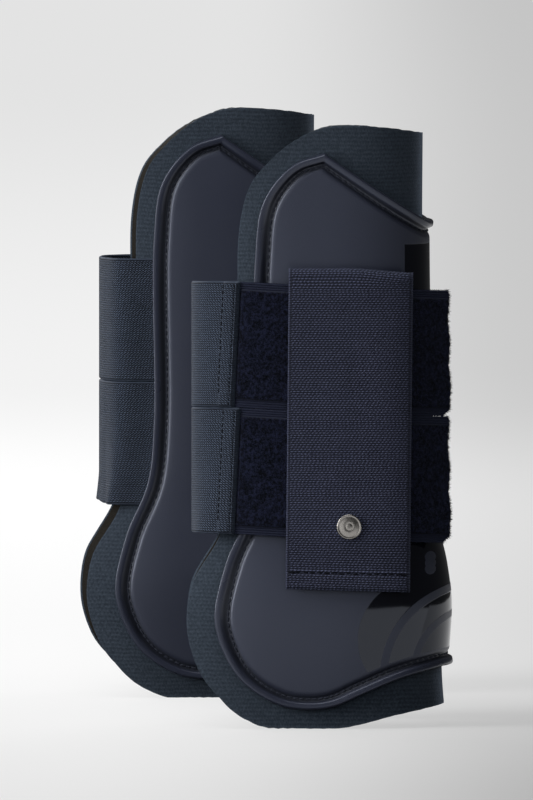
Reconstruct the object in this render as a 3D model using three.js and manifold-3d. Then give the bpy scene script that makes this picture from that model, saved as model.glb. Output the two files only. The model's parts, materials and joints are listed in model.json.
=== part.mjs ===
// A pair of tendon boots for a horse's front legs, standing side by side.
//
// Each boot is a C-shaped cup that wraps the tendon at the back of the cannon bone and is open at
// the front. From the leg outwards it is an inner lining, a neoprene core, an outer facing and a
// moulded shell with a raised rim. Two elastic straps are sewn in under the shell's inner (medial)
// edge, run round the front and end in a loop strip on the outer (lateral) side, where a folded
// hook tape grips them from both sides: its back half is sewn to the shell and its front half is
// the closure flap, with a round rivet badge near its end.
//
// Units are millimetres, +Z is up and -X is the front of the leg. The left boot stands nearest -Y
// with its lateral side towards -Y. The right boot is its mirror image, behind it. Inside one boot
// a place is (x, w, z), where w is positive on the lateral side.

import * as THREE from 'three';
import { mergeVertices } from 'three/addons/utils/BufferGeometryUtils.js';
import Module from 'manifold-3d';

const wasm = await Module();
wasm.setup();

// ---- driving dimensions -------------------------------------------------------------------

const GAP = 0.3;                   // air between pieces that touch on the real boot

// Layers, as distances outwards from the leg side of the lining.
const LINING = [0, 0.6];
const CORE = [0.9, 4.3];
const FACING = [4.6, 5.2];
const SHELL_INNER = 6.1;
const SHELL_OUTER = 8.2;
const RIM_OUTER = 9.8;
const POCKET_INNER = 7.5;          // the shell's inside face over the straps' sewn-in ends
const BACKING = [8.7, 9.6];
const LOOP = [10.4, 12.6];
const FLAP = [14.2, 15.4];
const ELASTIC_THICKNESS = 1.5;
const ANCHOR_MIDDLE = 6.4;         // the elastic's middle where it lies under the shell
const FRONT_MIDDLE = 9.6;          // and where it crosses the open front

// The leg side of the lining is a superellipse at each height: [z, back x, front x, half width].
const ROUNDNESS = 2.8;
const MEAN_RADIUS = 38;            // turns an angle into a rough length round the leg
const SECTIONS = [
  [0, 42.3, -66, 31],
  [24, 40.6, -67, 32],
  [50, 41.8, -66.5, 33],
  [66, 39.9, -61.5, 31.5],
  [80, 36.9, -54, 29],
  [110, 34.4, -47, 26.5],
  [150, 33.3, -46, 25.5],
  [200, 32.6, -46, 25.5],
  [246, 32.8, -46, 27],
];
// The front x of the straps' own oval. The right boot's straps are pulled tighter.
const STRAP_FRONT = { left: -46, right: -41 };

// Side-view outlines as [x, z], each from its front corner towards the back, or upwards.
const LINER_OUTLINE = {
  bottom: [[-52.7, 22.4], [-46.5, 14.1], [-39, 6.6], [-30, 1.6], [-24, 0], [4, 0], [16, 2.4],
    [31, 6], [47.6, 9]],
  front: [[-52.7, 22.4], [-58.2, 41], [-55.8, 59.7], [-45, 78.3], [-38.2, 103], [-36.9, 150],
    [-37.1, 202], [-33.2, 219.8], [-27.8, 228.1]],
  top: [[-27.8, 228.1], [-14.5, 239.7], [-2, 245], [10.4, 246], [24, 245.2], [38, 243.4]],
};
const SHELL_OUTLINE = {
  bottom: [[-41.5, 25.8], [-33, 16.1], [-20, 9.2], [-8.1, 7.6], [2, 8.8], [14, 13.8],
    [30, 20.2], [46.9, 24.6]],
  front: [[-41.5, 25.8], [-47.8, 44], [-43.4, 67], [-34, 90], [-31.4, 115], [-31.4, 190],
    [-27.8, 214.8], [-16, 229.4], [-1.9, 234.5]],
  top: [[-1.9, 234.5], [19, 220.6], [41, 206.4]],
};
const RIM_WIDTH = 3.7;
const GROOVE_WIDTH = 1.4;
const LINER_TOP_FALL = 3.2;        // how much lower the liner's top edge is on the medial side
const LINER_FALL_FROM = 225;       // the height where that fall begins

// Straps: the middle height where they cross the seam, their width and their fall to the back.
const STRAPS = { upper: 156.6, lower: 105.2 };
const STRAP_WIDTH = 50;
const STRAP_FALL = 0.05;
const SEAM_X = -37.5;              // where the elastic is sewn to the loop strip
const ANCHOR_LENGTH = 9;
const TAIL_FROM_X = 33;            // past here the loop strip runs straight
const TAIL_END_X = 48.5;

// Hook tape, folded over at its top.
const FLAP_X = [-17.4, 33.2];
const FLAP_TOP = 184;              // the height of the fold's axis
const FLAP_BOTTOM = 57.5;
const FOLD_RISE = 3.2;
const BACKING_BOTTOM = 86;
const HEM_HEIGHT = 8;
const HEM_EXTRA = 0.9;
const FLAP_LIFT = 1.6;             // how far the stiff tape stands off at its tendon-side edge

// Rivet badge.
const BADGE = { x: 8.2, z: 82.8, radius: 5.1, crown: 1.3, shank: 1.6, hole: 2.0 };
const WASHER = { radius: 3.9, thickness: 0.5 };

// The pair.
const BOOT_SPACING = 210;          // between the boots' middles
const RIGHT_BOOT_SET_BACK = 44;    // how far the right boot stands towards the front
const RIGHT_BOOT_TURN = THREE.MathUtils.degToRad(3);

// ---- small mathematics --------------------------------------------------------------------

const lerp = THREE.MathUtils.lerp;
const smooth = (value, low, high) => THREE.MathUtils.smoothstep(value, low, high);

// A smooth function of z through the rows of SECTIONS, for one of its columns.
function column(index) {
  const points = SECTIONS.map((row) => row[0]);
  const values = SECTIONS.map((row) => row[index]);
  const slopes = points.map((_, i) => {
    const before = Math.max(i - 1, 0);
    const after = Math.min(i + 1, points.length - 1);
    return (values[after] - values[before]) / (points[after] - points[before]);
  });
  return (z) => {
    let i = points.findIndex((p) => p > z) - 1;
    if (i === -2) i = points.length - 2;
    if (i < 0) i = 0;
    const width = points[i + 1] - points[i];
    const t = THREE.MathUtils.clamp((z - points[i]) / width, 0, 1);
    const t2 = t * t;
    const t3 = t2 * t;
    return (2 * t3 - 3 * t2 + 1) * values[i] + (t3 - 2 * t2 + t) * width * slopes[i]
      + (3 * t2 - 2 * t3) * values[i + 1] + (t3 - t2) * width * slopes[i + 1];
  };
}
const backAt = column(1);
const frontAt = column(2);
const halfWidthAt = column(3);

// The superellipse at height z, grown outwards by offset, as its middle and half axes.
function oval(z, offset, front = frontAt(z)) {
  const back = backAt(z);
  return { middle: (back + front) / 2, a: (back - front) / 2 + offset, b: halfWidthAt(z) + offset };
}

// The point of an oval on the ray at angle, where 0 is the tendon and positive is lateral.
function onOval({ middle, a, b }, angle) {
  const c = Math.cos(angle);
  const s = Math.sin(angle);
  const sum = Math.abs(c / a) ** ROUNDNESS + Math.abs(s / b) ** ROUNDNESS;
  const radius = sum ** (-1 / ROUNDNESS);
  return [middle + radius * c, radius * s];
}

// The angle of the lateral point of an oval that has this x.
function angleAtX({ middle, a, b }, x) {
  const across = THREE.MathUtils.clamp((x - middle) / a, -1, 1);
  const w = b * (1 - Math.abs(across) ** ROUNDNESS) ** (1 / ROUNDNESS);
  return Math.atan2(w, x - middle);
}

// A side-view outline laid out flat: a function from a share of its length round the leg to its
// [angle, z]. Its last point is at the tendon if endsAtTendon.
function laidOut(points, offset, endsAtTendon) {
  const line = new THREE.CatmullRomCurve3(points.map(([x, z]) => new THREE.Vector3(x, 0, z)));
  line.curveType = 'centripetal';
  const flat = line.getPoints(40 * points.length).map((p) => {
    const z = Math.max(p.z, 0);
    return [angleAtX(oval(z, offset), p.x), z];
  });
  if (endsAtTendon) flat.at(-1)[0] = 0;
  const lengths = [0];
  for (let i = 1; i < flat.length; i += 1) {
    const round = (flat[i][0] - flat[i - 1][0]) * MEAN_RADIUS;
    lengths.push(lengths[i - 1] + Math.hypot(round, flat[i][1] - flat[i - 1][1]));
  }
  return (share) => {
    const length = share * lengths.at(-1);
    const i = Math.max(lengths.findIndex((l) => l >= length - 1e-9), 1);
    const t = (length - lengths[i - 1]) / (lengths[i] - lengths[i - 1]);
    return [lerp(flat[i - 1][0], flat[i][0], t), lerp(flat[i - 1][1], flat[i][1], t)];
  };
}

// ---- solids -------------------------------------------------------------------------------

function toGeometry(positions, indices) {
  const geometry = new THREE.BufferGeometry();
  geometry.setAttribute('position', new THREE.Float32BufferAttribute(positions, 3));
  geometry.setIndex(indices);
  return geometry;
}

// A closed sheet: place(u, v, side) gives its leg-side point for side 0 and its outside point for
// side 1, at each pair of the given u and v values.
function sheet(us, vs, place) {
  const positions = [];
  const indices = [];
  const id = (i, j, side) => (side * vs.length + j) * us.length + i;
  for (const side of [0, 1]) {
    for (const v of vs) {
      for (const u of us) positions.push(...place(u, v, side));
    }
  }
  const quad = (a, b, c, d) => indices.push(a, b, c, a, c, d);
  const lastU = us.length - 1;
  const lastV = vs.length - 1;
  for (let j = 0; j < lastV; j += 1) {
    for (let i = 0; i < lastU; i += 1) {
      quad(id(i, j, 1), id(i + 1, j, 1), id(i + 1, j + 1, 1), id(i, j + 1, 1));
      quad(id(i, j, 0), id(i, j + 1, 0), id(i + 1, j + 1, 0), id(i + 1, j, 0));
    }
    quad(id(0, j, 0), id(0, j, 1), id(0, j + 1, 1), id(0, j + 1, 0));
    quad(id(lastU, j, 1), id(lastU, j, 0), id(lastU, j + 1, 0), id(lastU, j + 1, 1));
  }
  for (let i = 0; i < lastU; i += 1) {
    quad(id(i, 0, 1), id(i, 0, 0), id(i + 1, 0, 0), id(i + 1, 0, 1));
    quad(id(i, lastV, 0), id(i, lastV, 1), id(i + 1, lastV, 1), id(i + 1, lastV, 0));
  }
  return toGeometry(positions, indices);
}

function steps(count, from = 0, to = 1) {
  return Array.from({ length: count + 1 }, (_, i) => lerp(from, to, i / count));
}

// Turns every triangle over if the solid is inside out, which mirroring makes it.
function facingOut(geometry) {
  const index = geometry.getIndex().array;
  const points = geometry.getAttribute('position');
  const corner = (i) => new THREE.Vector3().fromBufferAttribute(points, index[i]);
  let volume = 0;
  for (let i = 0; i < index.length; i += 3) {
    volume += corner(i).dot(corner(i + 1).cross(corner(i + 2)));
  }
  if (volume < 0) {
    for (let i = 0; i < index.length; i += 3) {
      [index[i], index[i + 1]] = [index[i + 1], index[i]];
    }
  }
  return geometry;
}

function cut(geometry, tool) {
  const solid = (g) => {
    const bare = g.clone();
    bare.deleteAttribute('normal');
    bare.deleteAttribute('uv');
    const merged = mergeVertices(bare, 1e-4);
    return new wasm.Manifold(new wasm.Mesh({
      numProp: 3,
      vertProperties: merged.getAttribute('position').array,
      triVerts: Uint32Array.from(merged.getIndex().array),
    }));
  };
  const mesh = solid(geometry).subtract(solid(tool)).getMesh();
  return toGeometry(mesh.vertProperties, Array.from(mesh.triVerts));
}

// ---- the wrap: lining, core, facing and shell ---------------------------------------------

// A piece of wrap fills its side-view outline on both sides of the leg. u runs from the lateral
// front edge (0) round the tendon (0.5) to the medial front edge (1), and v from the bottom up.
function wrapPlaces(outline, outlineOffset) {
  const front = laidOut(outline.front, outlineOffset, false);
  const bottom = laidOut(outline.bottom, outlineOffset, true);
  const top = laidOut(outline.top, outlineOffset, true);
  const low = bottom(1)[1];
  const high = top(1)[1];
  const back = (v) => [0, lerp(low, high, v)];
  return (u, v) => {
    const share = 1 - Math.abs(1 - 2 * u);
    const f = front(v);
    const g = bottom(share);
    const h = top(share);
    const b = back(v);
    const blend = (k) => (1 - share) * f[k] + share * b[k] + (1 - v) * g[k] + v * h[k]
      - (1 - share) * (1 - v) * front(0)[k] - (1 - share) * v * front(1)[k]
      - share * (1 - v) * back(0)[k] - share * v * back(1)[k];
    const angle = blend(0);
    return [u <= 0.5 ? angle : -angle, blend(1)];
  };
}

function layer([inner, outer]) {
  const at = wrapPlaces(LINER_OUTLINE, FACING[1]);
  const top = SECTIONS.at(-1)[0];
  return sheet(steps(22), steps(9), (u, v, side) => {
    const [angle, z] = at(u, v);
    const [x, w] = onOval(oval(z, side ? outer : inner), angle);
    const towardsMedial = (1 - Math.sin(angle)) / 2;
    return [x, w, z - LINER_TOP_FALL * smooth(z, LINER_FALL_FROM, top) * towardsMedial];
  });
}

const strapsFrom = STRAPS.lower - STRAP_WIDTH / 2;
const strapsTo = STRAPS.upper + STRAP_WIDTH / 2;

// The shell's inside face stands off the facing where the straps' ends are sewn in.
function shellInnerAt(angle, z) {
  const edge = -angleAtX(oval(z, SHELL_OUTER), shellEdgeX(z));
  const behindEdge = Math.abs(angle - edge) * (halfWidthAt(z) + SHELL_OUTER);
  const inHeight = smooth(z, strapsFrom - 16, strapsFrom - 5)
    * (1 - smooth(z, strapsTo + 5, strapsTo + 16));
  const inDepth = 1 - smooth(behindEdge, ANCHOR_LENGTH + 6, ANCHOR_LENGTH + 14);
  return lerp(SHELL_INNER, POCKET_INNER, angle < 0 ? inHeight * inDepth : 0);
}

function shell() {
  const at = wrapPlaces(SHELL_OUTLINE, RIM_OUTER);
  const arc = 92;                  // along the shell from its front edge to the tendon
  const height = 190;
  const edges = (width) => [0, RIM_WIDTH / width, (RIM_WIDTH + GROOVE_WIDTH) / width];
  const halfUs = [...edges(arc), ...steps(9, 0.14, 1)].map((u) => u / 2);
  const us = [...halfUs, ...halfUs.slice(0, -1).reverse().map((u) => 1 - u)];
  const lowVs = edges(height);
  const vs = [...lowVs, ...steps(9, 0.09, 0.91), ...lowVs.map((v) => 1 - v).reverse()];
  return sheet(us, vs, (u, v, side) => {
    const [angle, z] = at(u, v);
    const onRim = Math.min(u, 1 - u) < 1.5 * halfUs[1] || Math.min(v, 1 - v) < 1.5 * vs[1];
    const outer = onRim ? RIM_OUTER : SHELL_OUTER;
    const offset = side ? outer : shellInnerAt(angle, z);
    const [x, w] = onOval(oval(z, offset), angle);
    return [x, w, z];
  });
}

// The x of the shell's front edge at a height between the shell's two front corners.
function shellEdgeX(z) {
  const points = SHELL_OUTLINE.front;
  for (let i = 1; i < points.length; i += 1) {
    if (z <= points[i][1]) {
      const t = (z - points[i - 1][1]) / (points[i][1] - points[i - 1][1]);
      return lerp(points[i - 1][0], points[i][0], THREE.MathUtils.clamp(t, 0, 1));
    }
  }
  return points.at(-1)[0];
}

// ---- straps -------------------------------------------------------------------------------

// The strap's middle line at one height, seen from above, from its sewn-in end under the shell's
// medial edge round the front to the end of the loop strip: a list of [x, w].
function strapLine(z, strapFront) {
  const edge = angleAtX(oval(z, ANCHOR_MIDDLE), shellEdgeX(z));
  const turn = ANCHOR_LENGTH / (halfWidthAt(z) + ANCHOR_MIDDLE);
  const loopMiddle = (LOOP[0] + LOOP[1]) / 2;
  const tail = 2 * Math.PI - angleAtX(oval(z, loopMiddle), TAIL_FROM_X);
  const line = steps(160, edge - turn, tail).map((angle) => {
    const out = smooth(angle, edge, edge + 0.3);
    const offset = lerp(FRONT_MIDDLE, loopMiddle, smooth(angle, Math.PI, Math.PI + 0.6));
    const front = lerp(strapFront, frontAt(z), smooth(Math.abs(angle - Math.PI), 0.3, 0.8));
    const sewn = onOval(oval(z, ANCHOR_MIDDLE), -angle);
    const free = onOval(oval(z, offset, front), -angle);
    return [lerp(sewn[0], free[0], out), lerp(sewn[1], free[1], out)];
  });
  const [before, last] = line.slice(-2);
  const slope = (last[1] - before[1]) / (last[0] - before[0]);
  for (const x of steps(6, TAIL_FROM_X, TAIL_END_X).slice(1)) {
    line.push([x, last[1] + slope * (x - last[0])]);
  }
  return line;
}

// A place on a strap line: its point moved outwards by offset, at a share of the way between two
// crossings. A crossing is an x on the medial (-1) or lateral (1) side.
function strapPlace(line, from, to, share, offset) {
  const lengthTo = ({ x, sideOfLeg }) => {
    let length = 0;
    for (let i = 1; i < line.length; i += 1) {
      const [a, b] = [line[i - 1], line[i]];
      const step = Math.hypot(b[0] - a[0], b[1] - a[1]);
      const crosses = (a[0] - x) * (b[0] - x) <= 0 && b[1] * sideOfLeg >= 0;
      if (crosses) return length + step * Math.abs((x - a[0]) / (b[0] - a[0] || 1));
      length += step;
    }
    return length;
  };
  let left = lerp(lengthTo(from), lengthTo(to), share);
  let i = 1;
  while (i < line.length - 1) {
    const step = Math.hypot(line[i][0] - line[i - 1][0], line[i][1] - line[i - 1][1]);
    if (left <= step) break;
    left -= step;
    i += 1;
  }
  const [a, b] = [line[i - 1], line[i]];
  const step = Math.hypot(b[0] - a[0], b[1] - a[1]);
  const [tx, tw] = [(b[0] - a[0]) / step, (b[1] - a[1]) / step];
  return [a[0] + tx * left - tw * offset, a[1] + tw * left + tx * offset];
}

function strapPiece({ middleZ, front }, thickness, count, from, to) {
  const heights = steps(3, -STRAP_WIDTH / 2, STRAP_WIDTH / 2);
  return sheet(steps(count), heights, (u, height, side) => {
    const z = middleZ + height;
    const line = strapLine(z, front);
    const offset = (side ? 1 : -1) * thickness / 2;
    const [x, w] = strapPlace(line, from(z), to(z), u, offset);
    const fall = w > 0 ? STRAP_FALL * Math.max(x - SEAM_X, 0) : 0;
    return [x, w, z - fall];
  });
}

const atShellEdge = (shift) => (z) => ({ x: shellEdgeX(z) + shift, sideOfLeg: -1 });
const atSeam = (shift) => () => ({ x: SEAM_X + shift, sideOfLeg: 1 });

function strap(place) {
  const loopThickness = LOOP[1] - LOOP[0];
  return {
    anchor: strapPiece(place, ELASTIC_THICKNESS, 2, atShellEdge(ANCHOR_LENGTH - 1.5),
      atShellEdge(0.2)),
    elastic: strapPiece(place, ELASTIC_THICKNESS, 14, atShellEdge(-0.4), atSeam(-GAP / 2)),
    loop_strip: strapPiece(place, loopThickness, 14, atSeam(GAP),
      () => ({ x: TAIL_END_X, sideOfLeg: 1 })),
  };
}

// ---- closure ------------------------------------------------------------------------------

// A point of the lateral side at x, at an offset that grows by lift at the tendon-side edge.
function lateral(x, z, offset, lift = 0) {
  const grown = offset + lift * smooth(x, 8, FLAP_X[1]);
  const section = oval(z, grown);
  return [x, onOval(section, angleAtX(section, x))[1], z];
}

// The sewn half of the hook tape: up the shell, and over the top as a half round fold.
function hookBacking() {
  const rows = [...steps(6, BACKING_BOTTOM, FLAP_TOP).map((z) => ({ z })),
    ...steps(5, 0, Math.PI).slice(1).map((turn) => ({ turn }))];
  return sheet(steps(7, ...FLAP_X), rows, (x, { z, turn }, side) => {
    if (turn === undefined) return lateral(x, z, BACKING[side]);
    const inner = lateral(x, FLAP_TOP, BACKING[side])[1];
    const outer = lateral(x, FLAP_TOP, FLAP[1 - side], FLAP_LIFT)[1];
    const middle = (inner + outer) / 2;
    const thickness = BACKING[1] - BACKING[0];
    const rise = side ? FOLD_RISE - thickness : FOLD_RISE;
    return [x, middle - (outer - inner) / 2 * Math.cos(turn), FLAP_TOP + rise * Math.sin(turn)];
  });
}

function closureFlap() {
  const rows = [FLAP_BOTTOM, FLAP_BOTTOM + HEM_HEIGHT - 1, FLAP_BOTTOM + HEM_HEIGHT,
    ...steps(6, FLAP_BOTTOM + 22, FLAP_TOP - GAP)];
  const sheetOfTape = sheet(steps(7, ...FLAP_X), rows, (x, z, side) => {
    const hem = side && z < FLAP_BOTTOM + HEM_HEIGHT - 0.5 ? HEM_EXTRA : 0;
    return lateral(x, Math.max(z, strapsFrom), FLAP[side] + hem, FLAP_LIFT).toSpliced(2, 1, z);
  });
  const [, face] = lateral(BADGE.x, BADGE.z, FLAP[1], FLAP_LIFT);
  const hole = new THREE.CylinderGeometry(BADGE.hole, BADGE.hole, 12, 16);
  hole.translate(BADGE.x, face, BADGE.z);
  return cut(sheetOfTape, hole);
}

// A turned piece whose profile is [radius, distance outwards], placed on the flap at the badge.
function turned(profile, segments) {
  const lathe = new THREE.LatheGeometry(profile.map(([r, w]) => new THREE.Vector2(r, w)), segments);
  lathe.deleteAttribute('normal');
  lathe.deleteAttribute('uv');
  const merged = mergeVertices(lathe, 1e-4);
  const kept = [];
  const index = merged.getIndex().array;
  for (let i = 0; i < index.length; i += 3) {
    const [a, b, c] = index.slice(i, i + 3);
    if (a !== b && b !== c && a !== c) kept.push(a, b, c);
  }
  merged.setIndex(kept);
  merged.translate(BADGE.x, 0, BADGE.z);
  return merged;
}

function badgeCap() {
  const [, face] = lateral(BADGE.x, BADGE.z, FLAP[1], FLAP_LIFT);
  const seat = face + 2 * GAP;
  const end = seat - 1.8 - (FLAP[1] - FLAP[0]);
  const { radius, crown, shank } = BADGE;
  return turned([[0, end], [shank, end], [shank, seat], [radius, seat], [radius, seat + 0.5],
    [radius - 0.7, seat + crown], [radius - 1.2, seat + crown - 0.35], [0, seat + crown]], 24);
}

function badgeWasher() {
  const [, back] = lateral(BADGE.x, BADGE.z, FLAP[0], FLAP_LIFT);
  const outer = back - 2 * GAP;
  const inner = outer - WASHER.thickness;
  const hole = BADGE.shank + GAP;
  const { radius } = WASHER;
  return turned([[hole, inner], [radius, inner], [radius, outer], [hole, outer], [hole, inner]], 20);
}

// ---- materials ----------------------------------------------------------------------------

const finish = (color, roughness, metalness = 0) => new THREE.MeshStandardMaterial({
  color, roughness, metalness,
});
const MATERIALS = {
  inner_lining: finish(0x232b38, 0.95),
  neoprene_core: finish(0x17140f, 0.9),
  outer_facing: finish(0x2c3644, 0.92),
  outer_shell: finish(0x2b3140, 0.42),
  elastic: finish(0x333d4b, 0.9),
  loop_strip: finish(0x121826, 1),
  hook_tape: finish(0x343848, 0.85),
  badge: finish(0xb9b4ac, 0.25, 1),
};

// ---- assembly -----------------------------------------------------------------------------

// One boot in its own frame. lateralY is the Y direction of its lateral side.
function boot(side, lateralY) {
  const group = new THREE.Group();
  const add = (name, geometry, material) => {
    const points = geometry.getAttribute('position');
    for (let i = 0; i < points.count; i += 1) points.setY(i, points.getY(i) * lateralY);
    const mesh = new THREE.Mesh(facingOut(geometry), MATERIALS[material]);
    mesh.name = `${side}_${name}`;
    group.add(mesh);
  };
  add('inner_lining', layer(LINING), 'inner_lining');
  add('neoprene_core', layer(CORE), 'neoprene_core');
  add('outer_facing', layer(FACING), 'outer_facing');
  add('outer_shell', shell(), 'outer_shell');
  add('hook_backing_tape', hookBacking(), 'hook_tape');
  add('closure_flap', closureFlap(), 'hook_tape');
  add('badge_cap', badgeCap(), 'badge');
  add('badge_washer', badgeWasher(), 'badge');
  for (const [name, middleZ] of Object.entries(STRAPS)) {
    const place = { middleZ, front: STRAP_FRONT[side] };
    const { anchor, elastic, loop_strip: loopStrip } = strap(place);
    add(`${name}_strap_anchor`, anchor, 'elastic');
    add(`${name}_strap_elastic`, elastic, 'elastic');
    add(`${name}_strap_loop_strip`, loopStrip, 'loop_strip');
  }
  return group;
}

const leftBoot = boot('left', -1);
const rightBoot = boot('right', 1);
rightBoot.position.set(-RIGHT_BOOT_SET_BACK, BOOT_SPACING, 0);
rightBoot.rotation.z = RIGHT_BOOT_TURN;

// The pair's origin is on the ground under the middle of its bounding box.
const pair = new THREE.Group();
pair.name = 'tendon_boots';
pair.add(leftBoot, rightBoot);
pair.updateMatrixWorld(true);
const centre = new THREE.Box3().setFromObject(pair, true).getCenter(new THREE.Vector3());
for (const side of [leftBoot, rightBoot]) {
  side.position.x -= centre.x;
  side.position.y -= centre.y;
}

export default pair;
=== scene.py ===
"""Looks of a pair of tendon boots for a horse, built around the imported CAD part.

Each piece is modelled again, finer than in the CAD part: the moulded shell with its rounded rim
and stitched groove, the three layers of the liner, the elastic straps with their folded and sewn
ends, the napped loop strips and the folded hook tape with its rivet badge.

Inside one boot a place is (x, w, z) in millimetres: x to the tendon, w to the lateral side and z
up.
"""

import json
import math

import bpy
import numpy as np
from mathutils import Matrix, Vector
from mathutils.kdtree import KDTree


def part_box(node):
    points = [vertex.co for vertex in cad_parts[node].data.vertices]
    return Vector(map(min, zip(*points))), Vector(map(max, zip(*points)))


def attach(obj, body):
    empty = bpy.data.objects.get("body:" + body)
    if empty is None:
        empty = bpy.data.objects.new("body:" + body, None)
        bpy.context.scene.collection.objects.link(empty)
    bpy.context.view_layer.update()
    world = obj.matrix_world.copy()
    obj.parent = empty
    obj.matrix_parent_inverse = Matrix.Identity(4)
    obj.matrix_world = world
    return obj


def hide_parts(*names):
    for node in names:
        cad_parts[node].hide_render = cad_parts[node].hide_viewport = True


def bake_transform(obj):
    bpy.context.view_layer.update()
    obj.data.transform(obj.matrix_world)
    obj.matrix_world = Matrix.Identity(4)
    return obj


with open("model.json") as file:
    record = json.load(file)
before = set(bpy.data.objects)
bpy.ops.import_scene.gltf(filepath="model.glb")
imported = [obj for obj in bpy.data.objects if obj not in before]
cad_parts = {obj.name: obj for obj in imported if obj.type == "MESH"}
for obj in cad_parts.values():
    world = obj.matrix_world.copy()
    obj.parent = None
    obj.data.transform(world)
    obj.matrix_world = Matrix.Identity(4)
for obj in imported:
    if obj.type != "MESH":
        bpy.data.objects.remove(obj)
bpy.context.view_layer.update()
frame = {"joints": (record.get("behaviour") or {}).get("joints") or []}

MM = 0.001
BACKDROP = "studio_backdrop"

# ---- driving dimensions, in millimetres ---------------------------------------------------------

# Each row is a height, then the back x, front x and half width of the leg side of the lining.
SECTIONS = np.array([
    [0, 42.3, -66, 31],
    [24, 40.6, -67, 32],
    [50, 41.8, -66.5, 33],
    [66, 39.9, -61.5, 31.5],
    [80, 36.9, -54, 29],
    [110, 34.4, -47, 26.5],
    [150, 33.3, -46, 25.5],
    [200, 32.6, -46, 25.5],
    [246, 32.8, -46, 27],
])
ROUNDNESS = 2.8
MEAN_RADIUS = 38
# The front x of the straps' own oval. The right boot's straps are pulled tighter.
STRAP_FRONT = {"left": -46, "right": -41}

# Side-view outlines as (x, z), from the front corner towards the back, or upwards.
LINER_OUTLINE = {
    "bottom": [(-52.7, 22.4), (-46.5, 14.1), (-39, 6.6), (-30, 1.6), (-24, 0), (4, 0), (16, 2.4),
               (31, 6), (47.6, 9)],
    "front": [(-52.7, 22.4), (-58.2, 41), (-55.8, 59.7), (-45, 78.3), (-38.2, 103), (-36.9, 150),
              (-37.1, 202), (-33.2, 219.8), (-27.8, 228.1)],
    "top": [(-27.8, 228.1), (-14.5, 239.7), (-2, 245), (10.4, 246), (24, 245.2), (38, 243.4)],
}
SHELL_OUTLINE = {
    "bottom": [(-41.5, 25.8), (-33, 16.1), (-20, 9.2), (-8.1, 7.6), (2, 8.8), (14, 13.8),
               (30, 20.2), (46.9, 24.6)],
    "front": [(-41.5, 25.8), (-47.8, 44), (-43.4, 67), (-34, 90), (-31.4, 115), (-31.4, 190),
              (-27.8, 214.8), (-16, 229.4), (-1.9, 234.5)],
    "top": [(-1.9, 234.5), (19, 220.6), (41, 206.4)],
}

# Layers, as distances outwards from the leg side of the lining.
LINING = (0, 0.75)
CORE = (0.8, 4.4)
FACING = (4.45, 5.2)
SHELL_INNER = 6.0
SHELL_OUTER = 8.2
RIM_OUTER = 9.8
POCKET_INNER = 7.4
BACKING = (8.7, 9.6)
LOOP_INNER = 10.4
LOOP_MIDDLE = 11.5
LOOP_WOVEN = 11.7
LOOP_NAP = 12.5
FLAP = (14.2, 15.4)
BACKING_MIDDLE, FLAP_MIDDLE = sum(BACKING) / 2, sum(FLAP) / 2

# The outlines laid out flat, round the leg and up. They set the spacing of the grids' lines.
LINER_SPREAD = (200, 225)
SHELL_SPREAD = (184, 200)

# The liner's edges fall towards the side that the camera can't see: the medial side (-1) of the
# left boot and the lateral side (1) of the right one.
LINER_FALL = 3.2
LINER_LOW_SIDE = {"left": -1, "right": 1}

# The shell's outside across its rim, groove and panel edge: (distance from the edge, offset).
SHELL_PROFILE = np.array([
    [0, 6.2], [0.12, 7.9], [0.35, 9.1], [0.7, 9.65], [1.1, 9.8], [2.0, 9.7], [2.8, 9.45],
    [3.1, 9.2], [3.35, 8.6], [3.6, 7.8], [3.85, 7.35], [4.3, 7.25], [5.2, 7.3], [5.6, 7.5],
    [6.1, 7.85], [6.8, 8.1], [7.6, 8.2], [9.0, 8.2],
])
GROOVE_MIDDLE = 4.7
GROOVE_FLOOR = 7.3
GROOVE_PITCH = 2.9

# The shell's gloss field in the side view is a strip up the tendon, behind this x, and a disc
# (centre, radius) at its foot. Matt arcs (centre, radius, width) and dots cross it.
GLOSS_STRIP = {"front": 30.5, "bottom": 24.25, "top": 197.05}
GLOSS_DISC = ((36.0, 36.5), 24.6)
MATT_ARCS = (((58.0, 21.5), 36.0, 3.2), ((58.5, 23.5), 24.0, 2.8))
MATT_DOTS = [(41.0, height) for height in (64.8, 67.2, 69.6)]
MATT_DOT_RADIUS = 2.3

# Each strap's middle height. Across the open front a strap falls by its tilt for each millimetre
# from STRAP_TILT_FROM towards the medial side, and behind its seam by STRAP_FALL.
STRAPS = {"upper": 156.6, "lower": 105.2}
STRAP_WIDTH = 51.2
STRAP_TILT = {"left": 0.04, "right": -0.012}
STRAP_TILT_FROM = 30
STRAP_FALL = 0.05
FRONT_MIDDLE = 9.6
ANCHOR_MIDDLE = 6.4
ANCHOR_LENGTH = 9

# The elastic ends in a fold with two stitch rows, at distances from its end, which pull it in.
ELASTIC_LENGTH = 120
ELASTIC_THICKNESS = 1.5
ELASTIC_HEM = 7.0
ELASTIC_HEM_EXTRA = 1.5
HEM_ROW = 6.8
END_ROW = 1.9
FURROW = 0.6

# The loop strip, from its seam with the elastic to its cut tail.
SEAM_X = -37.5
SEAM_LEAN = 0.048
SELVEDGE = 3.5
TAIL_FROM_X = 33
TAIL_END_X = 48.5
TAIL_CORNER = 3.0
FIBRE_RADIUS = 0.075
FIBRE_COUNTS = {"tail": 2600, "face": 2600, "edge": 260}
FIBRE_SEED = 21

# The hook tape: its side-view edges, its lean from FLAP_LEAN_FROM up, its fold and its hem.
FLAP_X = (-17.4, 33.2)
FLAP_TOP = 184
FLAP_BOTTOM = 57.5
FLAP_LEAN = 0.01
FLAP_LEAN_FROM = 120
FLAP_LIFT = 1.6
FOLD_RISE = 3.2
BACKING_BOTTOM = 86
HEM_HEIGHT = 8
HEM_EXTRA = 0.9
HEM_TOP = FLAP_BOTTOM + HEM_HEIGHT
BADGE = {"x": 8.2, "z": 82.8, "radius": 5.1}

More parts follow.
